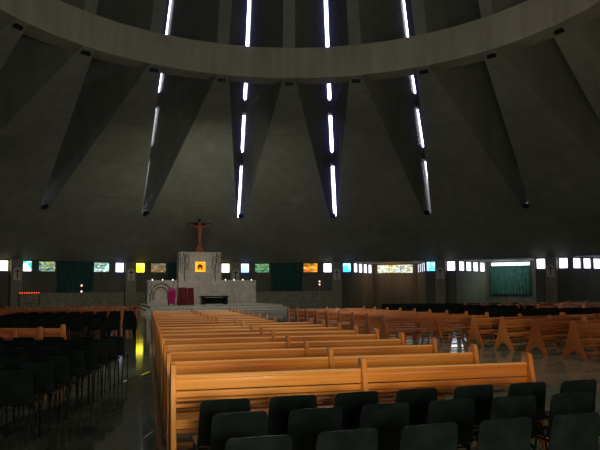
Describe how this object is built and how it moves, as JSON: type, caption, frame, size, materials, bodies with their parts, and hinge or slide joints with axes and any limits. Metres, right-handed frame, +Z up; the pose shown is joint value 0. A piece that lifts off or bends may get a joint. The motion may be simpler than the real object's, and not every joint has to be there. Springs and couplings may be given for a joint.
{
  "type": "modern church building, 1:2 scale model",
  "caption": "Half-size round modern church: a pleated concrete cone on piers with slot windows and a ring beam, low window walls with chapels, an open portal, altar and seats.",
  "frame": {"origin": "centre of the round hall at ground level", "axes": "+Z up, +Y towards the altar, +X along the widest line across two opposite piers"},
  "size_m": [39.8, 39.459, 37],
  "materials": {
    "fold_concrete": "board-marked cast concrete, matt",
    "ring_concrete": "smooth cast concrete, matt",
    "wall_render": "rendered concrete, matt",
    "slot_glass": "pale translucent strip glass",
    "stained_glass": "coloured glass in panes",
    "floor_marble": "polished dark marble",
    "white_marble": "honed white marble",
    "altar_stone": "rubbed grey render",
    "dark_wood": "dark stained timber",
    "black_stone": "polished black granite",
    "pew_wood": "varnished golden timber",
    "chair_plastic": "moulded black plastic",
    "curtain_cloth": "green woven cloth, matt",
    "drape_cloth": "dark red and magenta cloth",
    "chrome_legs": "polished steel tube",
    "lamp_metal": "black painted steel",
    "gilding": "gilded metal",
    "window_frames": "dark painted steel bars",
    "paper_sheets": "white printed paper"
  },
  "bodies": {
    "root": {"cone_fold_01": "fold_concrete", "cone_fold_02": "fold_concrete", "cone_fold_03": "fold_concrete", "cone_fold_04": "fold_concrete", "cone_fold_05": "fold_concrete", "cone_fold_06": "fold_concrete", "cone_fold_07": "fold_concrete", "cone_fold_08": "fold_concrete", "cone_fold_09": "fold_concrete", "cone_fold_10": "fold_concrete", "cone_fold_11": "fold_concrete", "cone_fold_12": "fold_concrete", "cone_fold_13": "fold_concrete", "cone_fold_14": "fold_concrete", "cone_fold_15": "fold_concrete", "cone_fold_16": "fold_concrete", "cone_fold_17": "fold_concrete", "cone_fold_18": "fold_concrete", "cone_fold_19": "fold_concrete", "cone_fold_20": "fold_concrete", "cone_fold_21": "fold_concrete", "cone_fold_22": "fold_concrete", "lantern_cap": "fold_concrete", "ring_beam": "ring_concrete", "crown_ring": "ring_concrete", "slot_glazing": "slot_glass", "wall_behind_altar": "wall_render", "chapel_wall_right": "wall_render", "chapel_wall_left": "wall_render", "side_wall_right": "wall_render", "side_wall_left": "wall_render", "portal_wall": "wall_render", "window_glass": "stained_glass", "floor_slab": "floor_marble", "altar_platform": "white_marble", "altar_wall": "altar_stone", "altar_tower": "altar_stone", "altar_cross": "dark_wood", "altar_table": "black_stone", "pew_01": "pew_wood", "pew_02": "pew_wood", "pew_03": "pew_wood", "pew_04": "pew_wood", "pew_05": "pew_wood", "pew_06": "pew_wood", "chair_row_1": "chair_plastic", "chair_row_2": "chair_plastic", "chair_row_3": "chair_plastic"}
  },
  "joints": []
}
